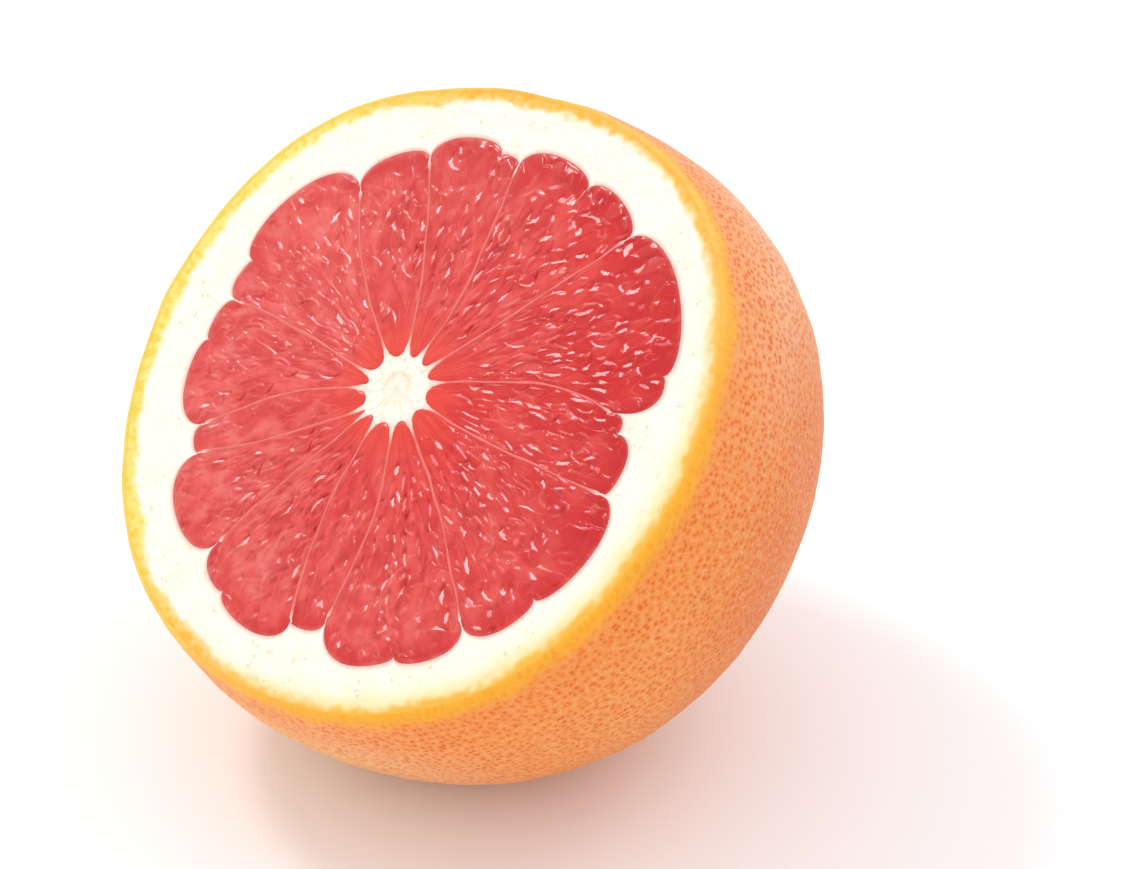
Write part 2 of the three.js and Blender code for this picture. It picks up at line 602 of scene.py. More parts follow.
def skin_finish(sizes, colours):
    """Waxy orange skin strewn with darker oil pores."""
    f = Finish("waxy_skin")
    # pores: one soft dot to a cell of about the pore spacing
    across = sizes.pore_spacing / MM
    where = f.flat("girth", across, across)
    wander = f.cloud(where, 0.45, 2.0, 0.5).outputs["Color"]
    moved = f.add(
        "ShaderNodeVectorMath", {0: wander, 1: (0.45, 0.45, 0.0), 2: where},
        operation="MULTIPLY_ADD",
    )
    reach = f.cells(moved.outputs["Vector"], 1.0, 0.84)
    sizing = f.span(f.grain(2.2, 2.0, 0.6), 0.3, 0.7, -0.08, 0.09, "LINEAR")
    near = f.math("ADD", reach, sizing)
    dot = f.span(near, 0.10, 0.29, 1.0, 0.0)
    halo = f.span(near, 0.20, 0.55, 1.0, 0.0)
    # and smaller, fainter ones between them
    speck = f.span(f.cells(where, 1.9, 0.95), 0.10, 0.30, 1.0, 0.0)
    patch = f.grain(9.0, 3.0, 0.6)
    fine = f.grain(0.45, 3.0, 0.65)
    grit = f.span(f.grain(0.28, 1.0, 0.6), 0.40, 0.62, 0.0, 0.42)
    rim, straw, lemon = f.read("from_rim"), f.read("straw"), f.read("lemon")
    edge = f.math("ADD", rim, f.times(patch, 4.0))
    inward = f.span(rim, 0.8, 4.5, 0.1, 1.0)
    between = f.times(f.span(fine, 0.46, 0.70), f.span(reach, 0.3, 0.6))
    # pores are weak close to the cut and on the yellow lower left side
    weak = f.times(
        f.span(f.grain(4.0), 0.3, 0.7, 0.5, 0.95),
        f.span(rim, 0.4, 4.0, 0.25, 1.0),
        f.span(straw, 0.0, 0.6, 0.94, 0.6),
    )
    zest = f.blend(lemon, colours.zest, (0.90, 0.66, 0.14))
    cheek = f.times(f.read("blush"), f.span(f.grain(38.0), 0.2, 0.8, 0.7, 1.0))
    body = f.layers(
        colours.skin,
        # painted light: a pale painted sheen on the upper side and painted bounce light low
        # down
        (cheek, colours.blush),
        # yellow low on the left: partly the skin's own colour, partly painted bounce light
        # lifting the shaded underside
        (straw, (0.95, 0.62, 0.23)),
        # painted shade: the skin darkens down its right side
        (f.times(f.read("deep"), 0.95), (0.70, 0.17, 0.045)),
        (f.span(patch, 0.38, 0.72, 0.0, 0.4), (0.87, 0.32, 0.06)),
        (f.span(edge, 5.0, 19.0, 0.6, 0.0), (0.89, 0.265, 0.05)),
        (f.span(edge, 1.9, 5.2, 0.9, 0.0), f.blend(lemon, colours.gold, colours.lemon)),
        (f.times(between, f.times(inward, 0.8)), (0.94, 0.52, 0.25)),
        (f.times(grit, inward), (0.78, 0.235, 0.055)),
        (f.times(halo, f.times(weak, 0.45)), (0.84, 0.20, 0.025)),
        (f.times(dot, weak), colours.pore),
        (f.times(speck, f.times(weak, 0.42)), colours.pore),
        (f.times(f.span(edge, 1.2, 3.4, 0.9, 0.0), f.rest(f.read("amber"))), zest),
        (f.read("scar"), (0.30, 0.22, 0.05)),
    )
    low = f.bump(f.grain(3.2), 0.22, 0.45)
    mid = f.bump(f.rest(halo), 0.12, 0.6, low)
    return f.set(
        Base_Color=body, Roughness=f.span(dot, 0.0, 1.0, 0.47, 0.6),
        Normal=f.bump(fine, 0.03, 0.5, mid), IOR=1.42, Specular_IOR_Level=0.22,
        Subsurface_Weight=0.12, Subsurface_Scale=0.002,
        Subsurface_Radius=(1.0, 0.35, 0.12),
    )


def pith_finish(colours):
    """Soft cream pith, yellow toward the rind and stained pink by the flesh."""
    f = Finish("soft_pith")
    mottle = f.grain(4.5, 4.0, 0.6)
    fleck = f.grain(1.0, 3.0, 0.6)
    spots = f.times(f.span(fleck, 0.58, 0.70), f.span(mottle, 0.46, 0.60))
    blot = f.times(f.span(f.grain(1.4, 1.0), 0.66, 0.74), f.span(mottle, 0.5, 0.6))
    rind, lemon = f.read("rind"), f.read("lemon")
    gland = f.span(f.grain(1.3), 0.42, 0.66)
    gold = f.blend(lemon, colours.gold, colours.lemon)
    zest = f.blend(lemon, colours.zest, (0.91, 0.72, 0.20))
    body = f.layers(
        colours.pith,
        (f.span(mottle, 0.45, 0.75, 0.0, 0.35), (0.91, 0.82, 0.60)),
        (f.times(spots, 0.75), (0.84, 0.64, 0.44)),
        (f.times(blot, 0.6), (0.84, 0.50, 0.34)),
        # from white through yellow to gold or lemon at the rind
        (f.read("warm"), (0.93, 0.70, 0.17)),
        (rind, zest),
        (f.times(rind, gland), gold),
        (f.read("amber"), f.blend(0.4, gold, zest)),
        (f.read("stain"), STAIN),
    )
    soft = f.bump(mottle, 0.25, 0.6)
    return f.set(
        Base_Color=body, Roughness=0.55, Normal=f.bump(fleck, 0.10, 0.6, soft),
        IOR=1.4, Specular_IOR_Level=0.3,
        Subsurface_Weight=0.35, Subsurface_Scale=0.0025,
        Subsurface_Radius=(1.0, 0.75, 0.5),
    )


def core_finish(colours):
    """Spongy white core with a faint beige ring and creases that run outward."""
    f = Finish("spongy_core")
    mottle = f.grain(1.5, 3.0, 0.6)
    crease = f.span(f.streak(f.flat("flow", 0.75, 4.0), 2.0, 0.5, 0.5), 0.52, 0.64)
    body = f.layers(
        colours.pith,
        (f.span(mottle, 0.42, 0.72, 0.0, 0.5), (0.90, 0.80, 0.62)),
        (f.times(crease, f.read("rays")), (0.76, 0.62, 0.46)),
        (f.read("ring"), (0.76, 0.60, 0.42)),
        (f.read("stain"), STAIN),
    )
    soft = f.bump(f.rest(crease), 0.08, 0.5)
    return f.set(
        Base_Color=body, Roughness=0.55, Normal=f.bump(mottle, 0.12, 0.6, soft),
        IOR=1.4, Specular_IOR_Level=0.3,
        Subsurface_Weight=0.3, Subsurface_Scale=0.0015,
        Subsurface_Radius=(1.0, 0.75, 0.5),
    )


def button_finish(colours):
    """Dry brown wood, cracked outward from the middle."""
    f = Finish("dry_button")
    crack = f.streak(f.flat("flow", 0.5, 3.0), 3.0, 0.6, 0.6)
    fine = f.grain(0.35, 3.0, 0.65)
    body = f.layers(
        colours.woody,
        (f.span(crack, 0.4, 0.62), (0.34, 0.24, 0.11)),
        (f.span(fine, 0.45, 0.7, 0.0, 0.5), (0.10, 0.065, 0.03)),
        (f.read("green"), (0.20, 0.20, 0.06)),
    )
    low = f.bump(crack, 0.25, 0.7)
    return f.set(
        Base_Color=body, Roughness=f.span(fine, 0.3, 0.7, 0.65, 0.85),
        Normal=f.bump(fine, 0.06, 0.6, low),
    )


def membrane_finish(colours):
    """Thin damp skin between segments, pink where it is thin."""
    f = Finish("thin_membrane")
    streak = f.grain(1.3, 3.0, 0.6)
    body = f.layers(
        colours.membrane,
        (f.span(f.grain(3.5), 0.35, 0.65, 0.0, 0.55), colours.flesh_pale),
        (f.span(streak, 0.45, 0.7, 0.0, 0.4), (0.86, 0.27, 0.225)),
        (f.read("pale"), (0.93, 0.76, 0.64)),
    )
    return f.set(
        Base_Color=body, Roughness=0.38, Normal=f.bump(streak, 0.05, 0.5),
        IOR=1.4, Specular_IOR_Level=0.3, Coat_Weight=0.12, Coat_Roughness=0.18,
        Subsurface_Weight=0.15, Subsurface_Scale=0.0005,
        Subsurface_Radius=(1.0, 0.35, 0.25),
    )


def flesh_finish(colours):
    """Wet juice sacs, clear red with milky streaks, a painted sheen and fine pale threads.
    """
    f = Finish("juice_sacs")
    long_sacs = f.streak(f.flat("flow", 2.6, 7.0), 2.0, 0.5, 0.8)
    threads = f.streak(f.flat("flow", 2.0, 7.0), 1.0, 0.5, 0.7)
    tone = f.math("ADD", f.times(long_sacs, 0.5), f.times(f.grain(3.0, 3.0, 0.6), 0.5))
    # threads: the narrow band where the noise crosses its middle value
    off = f.math("ABSOLUTE", f.math("SUBTRACT", threads, 0.5))
    thread = f.times(f.span(off, 0.0, 0.022, 1.0, 0.0),
                     f.span(f.grain(3.6, 1.0), 0.44, 0.62, 0.0, 0.32))
    body = f.layers(
        colours.flesh_deep,
        (f.times(f.span(tone, 0.36, 0.54), f.read("tone")), colours.flesh),
        # milky pale sacs, and a painted sheen at the left and below
        (f.times(f.span(tone, 0.42, 0.66, 0.35, 1.0), f.read("haze")), colours.flesh_pale),
        (thread, (0.86, 0.27, 0.22)),
        (f.times(f.read("wall"), 0.6), (0.86, 0.25, 0.21)),
        # clearer and brighter close to the core
        (f.span(f.read("reach"), 5.0, 15.0, 0.6, 0.0), (0.80, 0.060, 0.030)),
    )
    return f.set(
        Base_Color=body, Roughness=0.28, Normal=f.bump(f.grain(0.9), 0.018, 0.5),
        IOR=1.40, Specular_IOR_Level=0.35, Coat_Weight=0.46, Coat_Roughness=0.11,
        Coat_IOR=1.45,
        Subsurface_Weight=0.35, Subsurface_Scale=0.0014,
        Subsurface_Radius=(1.0, 0.22, 0.15),
    )


# ---------------------------------------------------------------- pieces


def round_skin(radius, latitude, turn):
    """Points on a round of the given radius, with the fruit's waves in it."""
    across = radius * np.cos(latitude) * girth(turn)
    height = radius * np.sin(latitude) - CUT
    return np.stack((across * np.cos(turn), across * np.sin(turn), height), axis=-1)


def lumps(away):
    """Slow lumps and fine pebbling of the skin."""
    return (0.22 * noise(away, 17.0, 1) + 0.15 * noise(away, 6.5, 2)
            + 0.07 * noise(away, 2.6, 3))


class FRUIT_OT_skin(bpy.types.Operator):
    """Builds the outer skin, with its lumps and stem end"""

    bl_idname = "fruit.skin"
    bl_label = "Skin"

    def execute(self, context):
        sizes, colours, _ = settings()
        radius = sizes.diameter / MM / 2.0
        # rows of the round, of its rounded edge and of the hidden inner wall
        rows, edge_rows, inner_rows = 150, 12, 10
        mesh, row, turn = wound("skin", rows + inner_rows, 520)
        # outer rows run from the stem end up to the cut, closer near the cut
        last = rows - edge_rows
        graded = 1.0 - (1.0 - ramp(0, last, row)) ** 1.18
        top_latitude = math.asin((CUT - ROUNDING) / radius)
        latitude = -math.pi / 2 + (top_latitude + math.pi / 2) * graded
        points = round_skin(radius, latitude, turn)
        away = points.copy()
        away[:, 2] += CUT
        length = np.linalg.norm(away, axis=1, keepdims=True)
        direction = away / np.maximum(length, 1e-9)
        from_rim = (top_latitude - latitude) * radius
        # close to the cut they only push sideways, so that the rim stays level
        out = ray(turn)
        level = fall(0.0, 4.0, from_rim)[:, None]
        push = direction * (1 - level) + out * level
        # the stem end: a shallow hollow round a dry button
        across = np.hypot(away[:, 0], away[:, 1])
        hollow = STEM_HOLLOW * (1 + np.cos(np.pi * ramp(0, STEM_REACH, across))) / 2
        ribs = 0.25 * np.cos(9 * turn + 2 * noise(away, 5.0, 4)) * smooth(1, 5, across)
        ribs *= fall(7, STEM_REACH, across)
        dip = np.where(away[:, 2] < 0, hollow - ribs, 0.0)
        points += push * (lumps(away) - dip)[:, None]
        # round the edge over and run in across the rind
        bend = ramp(last, last + 6, row) * math.pi / 2
        lap = ramp(last + 6, last + 11, row)
        top_across = radius * math.cos(top_latitude) * girth(turn)
        top_points = out * top_across[:, None]
        top_points[:, 2] = CUT - ROUNDING
        top_across += lumps(top_points)
        across_edge = top_across - ROUNDING * (1 - np.cos(bend)) - 0.7 * lap
        rounded = out * across_edge[:, None]
        rounded[:, 2] = -ROUNDING * (1 - np.sin(bend)) - 0.30 * smooth(0.45, 1.0, lap)
        points = np.where((row >= last)[:, None], rounded, points)
        # hidden inner wall
        inner = row >= rows
        start = math.asin(CUT / radius) - 0.03
        depth = (row - rows) / (inner_rows - 1)
        inner_latitude = start - (start + math.pi / 2) * depth
        inside = round_skin(radius - sizes.rind / MM, inner_latitude, turn)
        points = np.where(inner[:, None], inside, points)
        points[(row == 0) | (row == rows + inner_rows - 1), :2] = 0.0
        settle(mesh, points)
        self.lay_gores(mesh, turn, latitude, across, radius)
        # painted light: a pale sheen on the upper side and bounce light low down; painted
        # shade darkens the skin further round, on the right
        cheek = smooth(0.48, 0.94, direction @ CHEEK_ABOVE)
        lower = smooth(0.60, 1.0, direction @ CHEEK_BELOW)
        mark(
            mesh,
            from_rim=np.where(inner, 0.0, from_rim),
            scar=fall(2.4, 3.6, across) * (away[:, 2] < 0),
            blush=np.maximum(cheek, 0.8 * lower),
            # painted shade down the right side of the skin
            deep=smooth(0.64, 0.97, direction @ DEEP_SIDE),
            # yellow low on the left: partly the skin's own colour, partly painted bounce
            # light lifting the shaded underside
            straw=0.72 * smooth(0.3, 0.85, direction @ STRAW_SIDE),
            amber=smooth(0.2, 0.8, out[:, :2] @ SLANT_SIDE),
            lemon=smooth(0.1, 0.85, -out[:, 0]),
        )
        piece = finished("skin", mesh, skin_finish(sizes, colours))
        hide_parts("cut_grapefruit")
        return {"FINISHED"}

    def lay_gores(self, mesh, turn, latitude, across, radius):
        """Lays the pores' map on eight gores, each drawn out flat."""
        corners = corner_vertices(mesh)
        around, lat = turn[corners], latitude[corners]
        starts, totals = np.empty((2, len(mesh.polygons)), dtype=np.int32)
        mesh.polygons.foreach_get("loop_start", starts)
        mesh.polygons.foreach_get("loop_total", totals)
        # a face's gore comes from its corners, but for one at a pole
        tall = across[corners] > 0.01
        east = np.add.reduceat(np.sin(around) * tall, starts)
        north = np.add.reduceat(np.cos(around) * tall, starts)
        gore = np.repeat(np.floor(np.arctan2(east, north) / GORE + 1e-4), totals)
        off = (around - (gore + 0.5) * GORE + math.pi) % (2 * math.pi) - math.pi
        off = np.where(tall, off, 0.0) * np.cos(lat) * radius
        lay_uv(mesh, "girth", np.stack((off + GORE_APART * gore, lat * radius), axis=-1))


def even_turns(steps):
    """Turns in degrees, closer together where two lobes of flesh meet."""
    starts = [MEMBRANES[0][4]]
    for lobes in LOBES:
        starts.extend(lobe[0] for lobe in lobes)
    widths = np.diff(starts)
    shares = np.maximum(16, np.rint(widths / 360.0 * steps)).astype(int)
    turns = []
    for start, width, share in zip(starts, widths, shares):
        part = np.arange(share) / share
        turns.extend(start + width * eased(part, 0.55))
    return np.array(turns)


class FRUIT_OT_pith(bpy.types.Operator):
    """Builds the pith, with the cut rind edge and the hollow for the flesh"""

    bl_idname = "fruit.pith"
    bl_label = "Pith"

    def execute(self, context):
        sizes, colours, _ = settings()
        radius = sizes.diameter / MM / 2.0
        turns = even_turns(900)
        steps = len(turns)
        under, top, wall, floor = 12, 34, 6, 8
        mesh, row, spin = wound("pith", under + top + wall + floor, steps)
        step = np.rint((spin / (2 * math.pi) % 1.0) * steps)
        turn = turns[step.astype(int) % steps]
        # where a ray from the core meets the inside of the rounded skin edge
        out = ray(np.radians(turn))[:, :2]
        rim = np.full(len(turn), 50.0)
        for _ in range(6):
            spot = CORE + out * rim[:, None]
            face_turn = np.arctan2(spot[:, 1], spot[:, 0])
            wanted = radius * math.cos(math.asin(CUT / radius)) * girth(face_turn)
            ring = ray(face_turn) * wanted[:, None]
            ring[:, 2] = CUT - ROUNDING
            rim += wanted - 0.5 + lumps(ring) - np.linalg.norm(spot, axis=1)
        edge = lobe_edge(turn)
        # underside, hidden by the skin
        start = math.asin(CUT / radius) - 0.05 + math.pi / 2
        latitude = -math.pi / 2 + start * ramp(0, under, row)
        below = round_skin(radius - sizes.rind / MM * 0.7, latitude, face_turn)
        # top, from the rind in to the flesh
        part = ramp(under, under + top - 1, row)
        reach = rim + (edge - rim) * eased(part, 0.5)
        # wall and floor of the hollow
        first = under + top - 1
        drop = ramp(first, first + wall, row)
        reach = reach * (1 - ramp(first + wall, first + wall + floor, row))
        face = about_core(turn, reach)
        flat = face.copy()
        from_edge = np.where(row < under + top, reach - edge, 0.0)
        gland = noise(flat, 1.5, 14)
        lemon = smooth(0.1, 0.85, -out[:, 0])
        width = 2.0 + 0.7 * lemon + 0.7 * noise(flat, 7.0, 13) + 0.6 * gland
        rind = fall(-0.8, 0.9, rim - reach + 0.5 - width)
        inset = rim - reach
        relief = 0.16 * noise(flat, 5.0, 11) + 0.07 * noise(flat, 1.8, 12)
        relief = relief * smooth(0.0, 1.2, from_edge) + 0.10 * rind * gland
        relief *= smooth(0.9, 2.2, inset)
        relief -= 0.02 * fall(0.7, 1.2, inset) + 0.07 * fall(0.0, 0.8, from_edge) ** 2
        face[:, 2] = np.where(drop > 0, -0.10 - (HOLLOW_DEPTH - 0.1) * drop, relief)
        points = np.where((row < under)[:, None], below, face)
        settle(mesh, points)
        # where the cut slants through the rind its yellow reaches further in
        slant = smooth(0.1, 0.85, out @ SLANT_SIDE)
        ragged = inset + 0.4 * gland
        ragged = ragged + 0.3 * noise(flat, 0.8, 16) + 0.3 * noise(flat, 4.5, 15)
        warm = fall(0.0, 1.0, (ragged - 0.4) / (2.2 + 3.6 * slant)) ** 1.7
        band = fall(0.0, 1.0, (ragged - 0.3) / (0.6 + 0.9 * slant))
        stain = fall(0.0, 1.1, from_edge) ** 1.6 * (drop == 0) + (drop > 0)
        mark(
            mesh,
            rind=np.where(row < under, 1.0, rind * (1 - 0.85 * slant)),
            warm=np.where(row < under, 0.0, warm * (0.35 + 0.35 * slant)),
            amber=(0.45 + 0.55 * slant) * band,
            lemon=lemon,
            stain=0.6 * stain,
        )
        finished("pith", mesh, pith_finish(colours))
        return {"FINISHED"}


def turned(points, sacs):
    """How far points lie along and aside of each sac, which lies at its own
    place and direction."""
    dx, dy = points[..., 0] - sacs[..., 0], points[..., 1] - sacs[..., 1]
    east, north = sacs[..., 2], sacs[..., 3]
    return dx * east + dy * north, dy * east - dx * north


def strew_sacs(rng, index):
    """Juice sacs of one segment, a row each: place, direction, half sizes,
    height, slopes and tone."""
    start, end = segment_ends(index, 25.0)
    sacs = np.zeros((0, 10))
    for _ in range(int(45 * (end - start))):
        radius = math.sqrt(rng.uniform(5.0 ** 2, 48.0 ** 2))
        turn = rng.uniform(start - 7, end + 7)
        outer = float(smooth(20.0, 38.0, radius))
        drawn = min(1.0, radius / 22.0)
        long = (2.3 - 0.5 * outer) * rng.uniform(0.7, 1.4)
        wide = (0.85 + 0.55 * outer) * rng.uniform(0.7, 1.4) * drawn
        x, y, _ = about_core(turn, radius)
        lie = math.radians(turn) + rng.normal(0.0, 0.10 + 0.30 * outer)
        # a sac that would lie on an earlier one is left out
        along, aside = turned(np.array((x, y)), sacs)
        gap = (along / (sacs[:, 4] + long)) ** 2 + (aside / (sacs[:, 5] + wide)) ** 2
        if len(sacs) and gap.min() < 0.62:
            continue
        own = (rng.normal(0.0, 0.07), rng.normal(0.0, 0.05), rng.normal(0.0, 0.09))
        sacs = np.vstack(
            (sacs, (x, y, math.cos(lie), math.sin(lie), long, wide, *own, rng.uniform()))
        )
    return sacs


def sac_relief(points, sacs):
    """Height of the sacs, distance to the nearest crease and tone."""
    height, crease, tone = np.zeros((3, len(points)))
    for low in range(0, len(points), 6000):
        part = slice(low, low + 6000)
        along, aside = turned(points[part, None], sacs[None])
        gap = np.sqrt((along / sacs[:, 4]) ** 2 + (aside / sacs[:, 5]) ** 2)
        two = np.partition(gap, 1, axis=1)[:, :2]
        share = np.exp(-14.0 * (gap - two[:, :1]))
        share /= share.sum(axis=1, keepdims=True)
        lie = sacs[:, 6] + sacs[:, 7] * along + sacs[:, 8] * aside
        height[part] = (share * lie).sum(axis=1)
        tone[part] = (share * sacs[:, 9]).sum(axis=1)
        crease[part] = (two[:, 1] - two[:, 0]) * (share * sacs[:, 5]).sum(axis=1)
    return height, crease, tone


def strew_tips(rng, index, tries):
    """Tips of torn sacs in one segment, a row each: place, direction, half
    sizes, slopes and bow."""
    start, end = segment_ends(index, 25.0)
    tips = []
    for _ in range(tries):
        # most of them lie in the middle of the segment's length
        radius = rng.uniform(12.0, 44.0)
        turn = rng.uniform(start - 3, end + 3)
        # and more below than above
        share = 0.3 + 0.7 * bell(radius - 28.0, 8.0)
        share *= 0.66 + 0.34 * math.cos(math.radians(turn + 70.0))
        if rng.uniform() > share:
            continue
        outer = float(smooth(26.0, 40.0, radius))
        long = rng.uniform(0.6, 1.9) * (1.0 - 0.2 * outer)
        wide = rng.uniform(0.20, 0.34) * (1.0 + 0.6 * outer)
        x, y, _ = about_core(turn, radius)
        angle = math.radians(turn)
        if tips:
            own = np.array((x, y, math.cos(angle), math.sin(angle)))
            along, aside = turned(own, np.array([(*tip[:2], *own[2:]) for tip in tips]))
            if ((along / 2.3) ** 2 + (aside / 0.95) ** 2).min() < 1.0:
                continue
        lie = angle + rng.normal(0.0, 0.16 + 0.45 * outer)
        # wet tips slump down the cut and so lean up its slope
        lean = rng.uniform(0.72, 1.22)
        slopes = (rng.normal(-0.02, 0.05), (0.0016 * y - 0.245) * lean)
        bow = rng.normal(0.0, 0.18)
        tips.append((x, y, math.cos(lie), math.sin(lie), long, wide, *slopes, bow))
    return np.array(tips)


def lay_tips(height, points, tips):
    """Lays the torn tips over the height of the sacs, as smooth leaning drops."""
    for tip in tips:
        long, wide, slope_x, slope_y, bow = tip[4:]
        near = np.flatnonzero((np.abs(points[:, :2] - tip[:2]) < 2.8).all(axis=1))
        along, aside = turned(points[near], tip)
        aside = aside + bow * along ** 2
        share = fall(0.9, 1.55, np.sqrt((along / long) ** 2 + (aside / wide) ** 2))
        ground = (share * height[near]).sum() / max(share.sum(), 1e-9)
        leaning = (points[near, :2] - tip[:2]) @ (slope_x, slope_y)
        height[near] += share * (ground + leaning - height[near])


class FRUIT_OT_segments(bpy.types.Operator):
    """Builds the segments of flesh, with the juice sacs laid open by the cut"""

    bl_idname = "fruit.segments"
    bl_label = "Segments"

    def execute(self, context):
        sizes, colours, _ = settings()
        finish = flesh_finish(colours)
        rng = np.random.default_rng(sizes.seed)
        for index in range(len(MEMBRANES)):
            self.segment(index, sizes, finish, rng)
        return {"FINISHED"}

    def segment(self, index, sizes, finish, rng):
        """Builds one segment, between two membranes."""
        grain = sizes.grain / MM
        name = f"segment_{index + 1:02d}"
        start, end = segment_ends(index, MEAN_REACH)
        width = math.radians(end - start)
        columns = max(24, int(width * 36.0 / grain))
        mesh, across, out, down = bar(name, columns, int(37.0 / grain))
        # closer columns at both sides, where the lobes turn in
        across = eased(across, 0.4)
        # the sides run in under the membranes
        half = sizes.membrane / MM * 0.12
        inner = 5.4 + 1.6 * np.abs(2.0 * across - 1.0) ** 2.2
        outer_start = turn_at(index, 60.0, half * 1.5)
        outer_end = turn_at(index + 1, 60.0, -half * 1.5)
        outer = lobe_edge(outer_start + (outer_end - outer_start) * across) - 0.03
        reach = inner + (outer - inner) * out
        start = turn_at(index, reach, half)
        end = turn_at(index + 1, reach, -half)
        points = about_core(start + (end - start) * across, reach)
        side = np.minimum(across, 1 - across) * np.radians(end - start) * reach
        to_pith, to_core = outer - reach, reach - inner
        near = np.minimum(side, to_pith)
        # sacs lie along the segment and draw together toward the core
        wander = noise(points, 6.0, 51)
        aside = across * width * MEAN_REACH + 1.1 * wander
        flow = np.stack((aside, reach, np.full(len(reach), 19.0 * index)), axis=-1)
        height = 0.07 * noise(flow / (1.9, 6.5, 1.0), 1.0, 52)
        height += 0.016 * noise(flow / (0.9, 3.2, 1.0), 1.0, 53)
        strength = 0.2 + 0.8 * smooth(9.0, 22.0, reach)
        rough = smooth(-0.35, 0.45, noise(points, 7.0, 56) + 0.012 * points[:, 0])
        lie, crease, shade = sac_relief(points, strew_sacs(rng, index))
        height += lie * (0.35 + 0.65 * rough)
        depth = (0.02 + 0.12 * rough) * (1 - 0.45 * smooth(26.0, 38.0, reach))
        height -= depth * fall(0.0, 0.6, crease)
        height *= strength
        area = 0.5 * width * (40.0 ** 2 - 9.0 ** 2)
        lay_tips(height, points, strew_tips(rng, index, int(area / 6.5) * 9))
        # the flesh sinks a little toward all its sides
        height *= smooth(0.0, 0.8, np.minimum(near, to_core))
        height -= 0.13 * fall(0.0, 1.2, to_pith) ** 2
        height -= 0.03 * fall(0.0, 0.6, side) ** 2
        height -= 0.14 * fall(0.0, 0.9, to_core) ** 2
        points[:, 2] = np.where(down, -FLESH_DEPTH, height + 0.05)
        settle(mesh, points)
        lay_flow(mesh, aside, reach)
        # darker red and less painted sheen at the upper right; milky, with a painted sheen,
        # at the left and below
        x, y = points[:, 0], points[:, 1]
        deep = fall(0.3, 5.0, to_pith)
        right = smooth(6.0, 36.0, x) * smooth(-32.0, 2.0, y)
        clear = np.maximum(right, smooth(16.0, 40.0, y))
        juice = 0.60 + 0.6 * shade - 0.6 * deep + 0.2 * wander - 0.55 * clear
        left = smooth(14.0, -34.0, x - 0.3 * y)
        # milky patches at random, plus a painted sheen at the left and below that fades at
        # the upper right
        haze = 0.27 + 0.64 * left + 0.38 * smooth(-2.0, -26.0, y) - 0.22 * clear
        haze = haze + 0.22 * noise(points, 11.0, 55) + 0.25 * (shade - 0.5)
        haze = haze * (1 - deep * (0.65 - 0.4 * left)) + 0.6 * fall(0.0, 0.7, to_pith)
        wall = 0.14 * bell(crease, 0.14) * smooth(0.1, 0.5, noise(points, 4.0, 57))
        mark(
            mesh,
            tone=np.clip(juice, 0, 1),
            haze=np.clip(haze, 0, 1),
            wall=wall * strength * smooth(0.0, 1.0, near),
            reach=reach,
        )
        finished(name, mesh, finish)


class FRUIT_OT_membranes(bpy.types.Operator):
    """Builds the membranes between segments and the short folds in them"""

    bl_idname = "fruit.membranes"
    bl_label = "Membranes"

    def execute(self, context):
        sizes, colours, _ = settings()
        finish = membrane_finish(colours)
        half = sizes.membrane / MM * 0.5
        for index, row in enumerate(MEMBRANES):
            self.membrane(index, row[-1], half, finish)
        for index, fold in enumerate(FOLDS):
            self.fold(index, *fold, finish)
        return {"FINISHED"}

    def membrane(self, index, outer, half, finish):
        """Builds one membrane, from the core out to the pith."""
        name = f"membrane_{index + 1:02d}"
        mesh, aside, part, down = bar(name, 8, 170)
        aside = aside * 2 - 1
        reach = MEMBRANE_START + (outer + 0.5 - MEMBRANE_START) * part
        line = np.stack((reach, reach * 0, reach * 0), axis=-1)
        # wider at the core, and a little at the pith
        wide = half * (1.25 + 0.3 * noise(line, 3.0, 61 + index))
        wide = wide + 0.34 * fall(5.0, 9.0, reach)
        wide = wide + 0.17 * smooth(outer - 3.0, outer - 0.3, reach) ** 2
        wander = 0.14 * noise(line, 4.0, 31 + index)
        offset = wander * smooth(5.0, 12.0, reach) + aside * wide
        points = about_core(turn_at(index, reach, offset), reach)
        crown = 0.09 + 0.03 * noise(line, 2.2, 81 + index) - 0.10 * np.abs(aside) ** 2
        crown -= 0.13 * smooth(outer - 1.0, outer + 0.5, reach)
        points[:, 2] = np.where(down, -FLESH_DEPTH, crown)
        settle(mesh, points)
        at_pith = 0.85 * smooth(outer - 2.2, outer + 0.3, reach)
        mark(mesh, pale=np.maximum(0.9 * fall(5.8, 9.5, reach), at_pith))
        finished(name, mesh, finish)

    def fold(self, index, outer, inner, depth, finish):
        """Builds one short fold, in from the pith between two lobes."""
        name = f"fold_{index + 1:02d}"
        mesh, aside, part, down = bar(name, 6, 60)
        aside = aside * 2 - 1
        reach = float(lobe_edge(outer)) + 0.3 - depth * (1 - part)
        turn = inner + (outer - inner) * smooth(0.0, 1.0, part)
        turn = turn + np.degrees(aside * (0.05 + 0.26 * part ** 3) / reach)
        points = about_core(turn, reach)
        crown = -0.22 + 0.28 * smooth(0.0, 0.5, part) - 0.12 * np.abs(aside) ** 2
        points[:, 2] = np.where(down, -1.6, crown - 0.20 * smooth(0.75, 1.0, part))
        settle(mesh, points)
        mark(mesh, pale=0.9 * smooth(0.78, 1.0, part))
        finished(name, mesh, finish)


